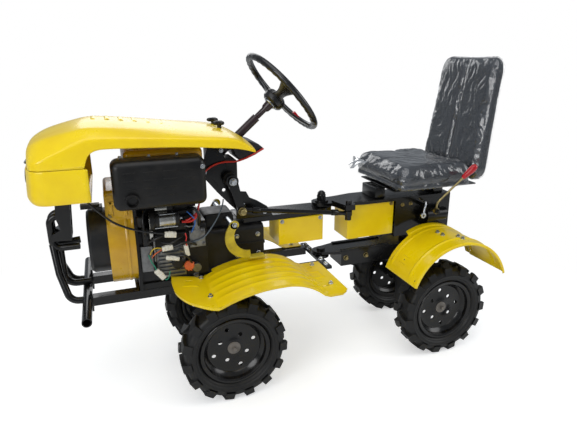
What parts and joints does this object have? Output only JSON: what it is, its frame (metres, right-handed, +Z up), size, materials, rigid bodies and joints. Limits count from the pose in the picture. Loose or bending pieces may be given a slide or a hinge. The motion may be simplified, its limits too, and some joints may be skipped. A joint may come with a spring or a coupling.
{
  "type": "pivot-steered mini tractor",
  "caption": "Small pivot-steered tractor with a hinged hood, open diesel engine, padded seat, field tyres and fenders; drives, bends at its middle and tows at a rear drawbar.",
  "frame": {"origin": "middle of the machine's footprint box, on the ground", "axes": "+X forward, +Y to the driver's left, +Z up"},
  "size_m": [1.89, 0.82, 1.3266],
  "materials": {
    "yellow_paint": "gloss",
    "black_paint": "satin",
    "cast_alloy": "as cast",
    "bare_steel": "zinc plated",
    "black_plastic": "moulded",
    "seat_cover": "grained vinyl under clear film",
    "lamp_lens": "clear",
    "tyre": "moulded",
    "red_cable": "extruded",
    "rim_paint": "gloss"
  },
  "bodies": {
    "front": {"chassis_rails": "black_paint", "front_guard": "black_paint", "transmission": "black_paint", "front_axle": "black_paint", "engine_block": "cast_alloy", "fan_housing": "yellow_paint", "recoil_starter": "black_plastic", "muffler": "black_paint", "starter_motor": "bare_steel", "engine_fittings": "cast_alloy", "fuel_tank": "black_paint", "air_cleaner": "black_plastic", "steering_support": "black_paint", "steering_gear": "black_paint", "steering_column": "black_paint", "dash_panel": "black_plastic", "pedals": "yellow_paint", "front_beam": "black_paint", "front_cover": "yellow_paint", "nose_panel": "yellow_paint", "headlamps": "lamp_lens", "front_fender_left": "yellow_paint", "front_fender_right": "yellow_paint", "lamp_lead": "black_plastic", "starter_lead": "red_cable", "control_cables": "black_plastic"},
    "rear": {"rear_top_plate": "black_paint", "kingpin_upper": "bare_steel", "kingpin_lower": "bare_steel", "rear_tongue": "black_paint", "rear_axle_case": "black_paint", "rear_axle": "black_paint", "rear_frame": "black_paint", "rear_cover": "yellow_paint", "rear_fender_left": "yellow_paint", "rear_fender_right": "yellow_paint", "lift_cylinder": "black_paint", "lift_lever": "black_paint", "drawbar": "black_paint", "seat_frame": "black_paint", "seat_cushion": "seat_cover", "seat_back": "seat_cover"},
    "wheel_front_left": {"tyre_front_left": "tyre", "rim_front_left": "rim_paint"},
    "wheel_front_right": {"tyre_front_right": "tyre", "rim_front_right": "rim_paint"},
    "wheel_rear_left": {"tyre_rear_left": "tyre", "rim_rear_left": "rim_paint"},
    "wheel_rear_right": {"tyre_rear_right": "tyre", "rim_rear_right": "rim_paint"},
    "hood": {"hood": "yellow_paint", "hood_knobs": "black_plastic"},
    "steering_wheel": {"steering_wheel": "black_plastic"},
    "drop_arm": {"drop_arm": "black_paint"},
    "drag_link": {"drag_link": "black_paint"}
  },
  "joints": [
    {"name": "articulation", "type": "hinge", "parent": "front", "child": "rear", "pos_m": [-0.186, 0, 0.586], "axis": [0, 0, 1], "range_deg": [-30, 30]},
    {"name": "front_left_wheel_spin", "type": "hinge", "parent": "front", "child": "wheel_front_left", "pos_m": [0.283, 0.222, 0.214], "axis": [0, 1, 0], "continuous": true},
    {"name": "front_right_wheel_spin", "type": "hinge", "parent": "front", "child": "wheel_front_right", "pos_m": [0.283, -0.222, 0.214], "axis": [0, 1, 0], "continuous": true},
    {"name": "rear_left_wheel_spin", "type": "hinge", "parent": "rear", "child": "wheel_rear_left", "pos_m": [-0.689, 0.222, 0.214], "axis": [0, 1, 0], "continuous": true},
    {"name": "rear_right_wheel_spin", "type": "hinge", "parent": "rear", "child": "wheel_rear_right", "pos_m": [-0.689, -0.222, 0.214], "axis": [0, 1, 0], "continuous": true},
    {"name": "hood_hinge", "type": "hinge", "parent": "front", "child": "hood", "pos_m": [0.938, 0, 0.971], "axis": [0, 1, 0], "range_deg": [0, 95]},
    {"name": "steering_turn", "type": "hinge", "parent": "front", "child": "steering_wheel", "pos_m": [-0.006, 0, 1.176], "axis": [-0.7547, 0, 0.6561], "range_deg": [-362, 362]},
    {"name": "drop_arm_swing", "type": "hinge", "parent": "front", "child": "drop_arm", "pos_m": [0.237, 0.11, 0.861], "axis": [0, 1, 0], "range_deg": [-31, 31]},
    {"name": "drag_link_swing", "type": "hinge", "parent": "rear", "child": "drag_link", "pos_m": [-0.263, 0.11, 0.677], "axis": [0, 0, 1], "range_deg": [-26, 26]}
  ],
  "couplings": [
    {"joint": "steering_turn", "follows": "articulation", "ratio": -12},
    {"joint": "drop_arm_swing", "follows": "articulation", "ratio": 1},
    {"joint": "drag_link_swing", "follows": "articulation", "ratio": -0.83}
  ]
}
